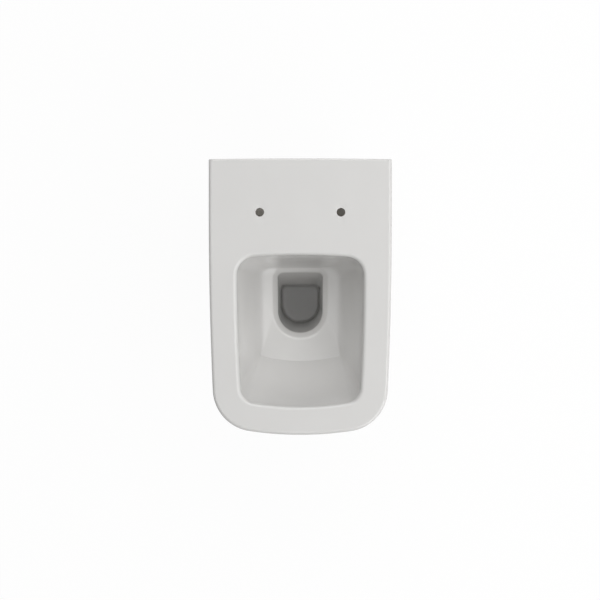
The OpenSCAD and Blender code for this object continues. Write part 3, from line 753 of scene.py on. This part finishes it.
def finish(name, shades, patch, roughness, grain, relief, stretch=(1, 1, 1), **sockets):
    """A finish whose colour drifts between near shades, with uneven gloss and a fine relief in metres."""
    m = bpy.data.materials.new(name)
    m.use_nodes = True
    nodes, links = m.node_tree.nodes, m.node_tree.links
    shader = nodes["Principled BSDF"]
    for socket, value in sockets.items():
        shader.inputs[socket.replace("_", " ")].default_value = value
    where, place = nodes.new("ShaderNodeTexCoord"), nodes.new("ShaderNodeMapping")
    place.inputs["Scale"].default_value = stretch
    links.new(where.outputs["Object"], place.inputs["Vector"])

    def noise(scale, detail):
        n = nodes.new("ShaderNodeTexNoise")
        n.inputs["Scale"].default_value = scale
        n.inputs["Detail"].default_value = detail
        links.new(place.outputs["Vector"], n.inputs["Vector"])
        return n.outputs["Fac"]

    ramp = nodes.new("ShaderNodeValToRGB")
    for element, at, shade in zip(ramp.color_ramp.elements, (0.35, 0.65), shades):
        element.position, element.color = at, (*shade, 1)
    links.new(noise(patch, 3), ramp.inputs["Fac"])
    links.new(ramp.outputs["Color"], shader.inputs["Base Color"])
    gloss = nodes.new("ShaderNodeMapRange")
    gloss.inputs["From Min"].default_value, gloss.inputs["From Max"].default_value = 0.3, 0.7
    gloss.inputs["To Min"].default_value, gloss.inputs["To Max"].default_value = roughness
    links.new(noise(patch * 2.3, 4), gloss.inputs["Value"])
    links.new(gloss.outputs["Result"], shader.inputs["Roughness"])
    bump = nodes.new("ShaderNodeBump")
    bump.inputs["Strength"].default_value, bump.inputs["Distance"].default_value = 1, relief
    links.new(noise(grain, 2), bump.inputs["Height"])
    links.new(bump.outputs["Normal"], shader.inputs["Normal"])
    return m


glaze = finish(
    "white_glaze", ((0.635, 0.629, 0.617), (0.645, 0.639, 0.627)), 9, (0.2, 0.27), 55, 0.00003,
    Coat_Weight=0.3, Coat_Roughness=0.12)
clay = finish("raw_clay", ((0.52, 0.495, 0.45), (0.60, 0.575, 0.53)), 60, (0.8, 0.95), 900, 0.00012)
rubber = finish(
    "black_rubber", ((0.014, 0.014, 0.015), (0.028, 0.028, 0.029)), 70, (0.5, 0.72), 1500, 0.00005)
nylon = finish(
    "natural_nylon", ((0.60, 0.585, 0.53), (0.66, 0.645, 0.595)), 50, (0.38, 0.5), 700, 0.00002,
    Subsurface_Weight=0.12, Subsurface_Radius=(0.004, 0.0035, 0.003))
zinc = finish(
    "zinc_plate", ((0.44, 0.45, 0.475), (0.58, 0.59, 0.60)), 240, (0.24, 0.42), 1800, 0.00001, Metallic=1)
brass = finish(
    "turned_brass", ((0.52, 0.36, 0.12), (0.64, 0.46, 0.17)), 40, (0.2, 0.34), 60, 0.00002, (45, 1, 1),
    Metallic=1)
plastic = finish(
    "white_plastic", ((0.705, 0.703, 0.695), (0.72, 0.718, 0.71)), 40, (0.26, 0.34), 1100, 0.000008,
    Specular_IOR_Level=0.45)


def settle(piece, body, node):
    """Lets a piece ride on its body and stand for its CAD node."""
    smooth(piece)
    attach(piece, body)
    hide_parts(node)


settle(make_pan(glaze, clay), "pan", "pan")
settle(make_seal(rubber), "pan", "inlet_seal")
settle(make_washers(zinc), "pan", "stud_washers")
settle(make_nuts(zinc), "pan", "stud_nuts")
for side, hand in ((-1, "left"), (1, "right")):
    bush, insert = "fixing_bush_" + hand, "screw_insert_" + hand
    screw, cap = "side_screw_" + hand, "cover_cap_" + hand
    settle(make_bush("bush_sleeve_" + hand, side, nylon), "pan", bush)
    settle(make_insert("threaded_insert_" + hand, side, brass), "pan", insert)
    settle(make_side_screw("socket_screw_" + hand, side, zinc), screw, screw)
    settle(make_cap("push_cap_" + hand, side, plastic), cap, cap)

# Camera: straight above the pan, with the wall at the top of the picture
MM_PER_PIXEL = 1.9075
PICTURE_PX = 600
CAMERA_HEIGHT = 6367
VIEW_X, VIEW_Y = -0.6, -270.4
SENSOR = 36
camera = bpy.data.objects.new("camera", bpy.data.cameras.new("camera"))
camera.data.sensor_width = SENSOR
camera.data.lens = SENSOR * CAMERA_HEIGHT / (MM_PER_PIXEL * PICTURE_PX)
camera.data.clip_end = 100
camera.location = Vector((VIEW_X, VIEW_Y, RIM_Z + CAMERA_HEIGHT)) * MM
bpy.context.scene.collection.objects.link(camera)
bpy.context.scene.camera = camera
bpy.context.scene.view_settings.view_transform = "Standard"


def area_light(name, at, towards, width, height, watts):
    data = bpy.data.lights.new(name, "AREA")
    data.shape = "RECTANGLE"
    data.size, data.size_y, data.energy = width, height, watts
    light = bpy.data.objects.new(name, data)
    light.location = at
    light.rotation_euler = (Vector(towards) - Vector(at)).to_track_quat("-Z", "Y").to_euler()
    light.visible_camera = False
    bpy.context.scene.collection.objects.link(light)


def white_to_the_eye(tree):
    """A factor of 1 for camera, glossy and transmission rays, and 0 for the rays that carry light."""
    rays = tree.nodes.new("ShaderNodeLightPath")
    either = rays.outputs["Is Camera Ray"]
    for other in ("Is Glossy Ray", "Is Transmission Ray"):
        most = tree.nodes.new("ShaderNodeMath")
        most.operation = "MAXIMUM"
        tree.links.new(either, most.inputs[0])
        tree.links.new(rays.outputs[other], most.inputs[1])
        either = most.outputs["Value"]
    return either


def studio_floor(z, reach, shown):
    """A pale floor that looks white but shows a share of its own light and shadow."""
    bm = bmesh.new()
    made = bmesh.ops.create_grid(bm, x_segments=8, y_segments=8, size=reach)
    bmesh.ops.translate(bm, verts=made["verts"], vec=(0, 0, z))
    mat = bpy.data.materials.new("pale_floor")
    mat.use_nodes = True
    tree = mat.node_tree
    tree.nodes.clear()
    paint, white = tree.nodes.new("ShaderNodeBsdfDiffuse"), tree.nodes.new("ShaderNodeEmission")
    paint.inputs["Color"].default_value = (0.9, 0.9, 0.89, 1)
    white.inputs["Strength"].default_value = 1
    share = tree.nodes.new("ShaderNodeMath")
    share.operation = "MULTIPLY"
    share.inputs[1].default_value = 1 - shown
    tree.links.new(white_to_the_eye(tree), share.inputs[0])
    choose, out = tree.nodes.new("ShaderNodeMixShader"), tree.nodes.new("ShaderNodeOutputMaterial")
    tree.links.new(share.outputs["Value"], choose.inputs["Fac"])
    tree.links.new(paint.outputs["BSDF"], choose.inputs[1])
    tree.links.new(white.outputs["Emission"], choose.inputs[2])
    tree.links.new(choose.outputs["Shader"], out.inputs["Surface"])
    new_piece("floor", bm, mat)


# The studio, in metres and watts
FLOOR_Z, FLOOR_REACH, FLOOR_SHOWN = -0.32, 7, 0.05
MIDDLE = (0, -0.26, 0)
SOFTBOX, SOFTBOX_AWAY = 2.6, 3.5
GLINT_X, GLINT_Y, GLINT_Z, GLINT_SIZE, GLINT_POWER = -0.0015, -0.2525, 1.29, 0.0285, 0.022
AMBIENT = 0.1

studio_floor(FLOOR_Z, FLOOR_REACH, FLOOR_SHOWN)
# Each softbox's bearing, from 0 at the right to 90 at the wall, its height above the level, and its power
for name, bearing, rise, watts in (
        ("right_softbox", 0, 50, 29.5), ("right_rear_softbox", 45, 50, 6.5),
        ("right_rear_low_softbox", 45, 30, 18), ("rear_softbox", 90, 50, 48),
        ("left_rear_softbox", 135, 50, 4), ("left_softbox", 180, 50, 13),
        ("front_softbox", 270, 50, 20), ("right_front_low_softbox", 315, 30, 51.5)):
    turn, lift = math.radians(bearing), math.radians(rise)
    way = Vector((math.cos(lift) * math.cos(turn), math.cos(lift) * math.sin(turn), math.sin(lift)))
    area_light(name, Vector(MIDDLE) + way * SOFTBOX_AWAY, MIDDLE, SOFTBOX, SOFTBOX, watts)
# A small lamp high above the bowl, which reaches the floor of the well
area_light(
    "well_glint", (GLINT_X, GLINT_Y, GLINT_Z), (GLINT_X, GLINT_Y, 0), GLINT_SIZE, GLINT_SIZE, GLINT_POWER)

world = bpy.data.worlds.new("studio")
bpy.context.scene.world = world
world.use_nodes = True
tree = world.node_tree
ambient, seen = tree.nodes["Background"], tree.nodes.new("ShaderNodeBackground")
for shade, strength in ((ambient, AMBIENT), (seen, 1)):
    shade.inputs["Color"].default_value = (1, 1, 1, 1)
    shade.inputs["Strength"].default_value = strength
choose = tree.nodes.new("ShaderNodeMixShader")
tree.links.new(white_to_the_eye(tree), choose.inputs["Fac"])
tree.links.new(ambient.outputs["Background"], choose.inputs[1])
tree.links.new(seen.outputs["Background"], choose.inputs[2])
tree.links.new(choose.outputs["Shader"], tree.nodes["World Output"].inputs["Surface"])
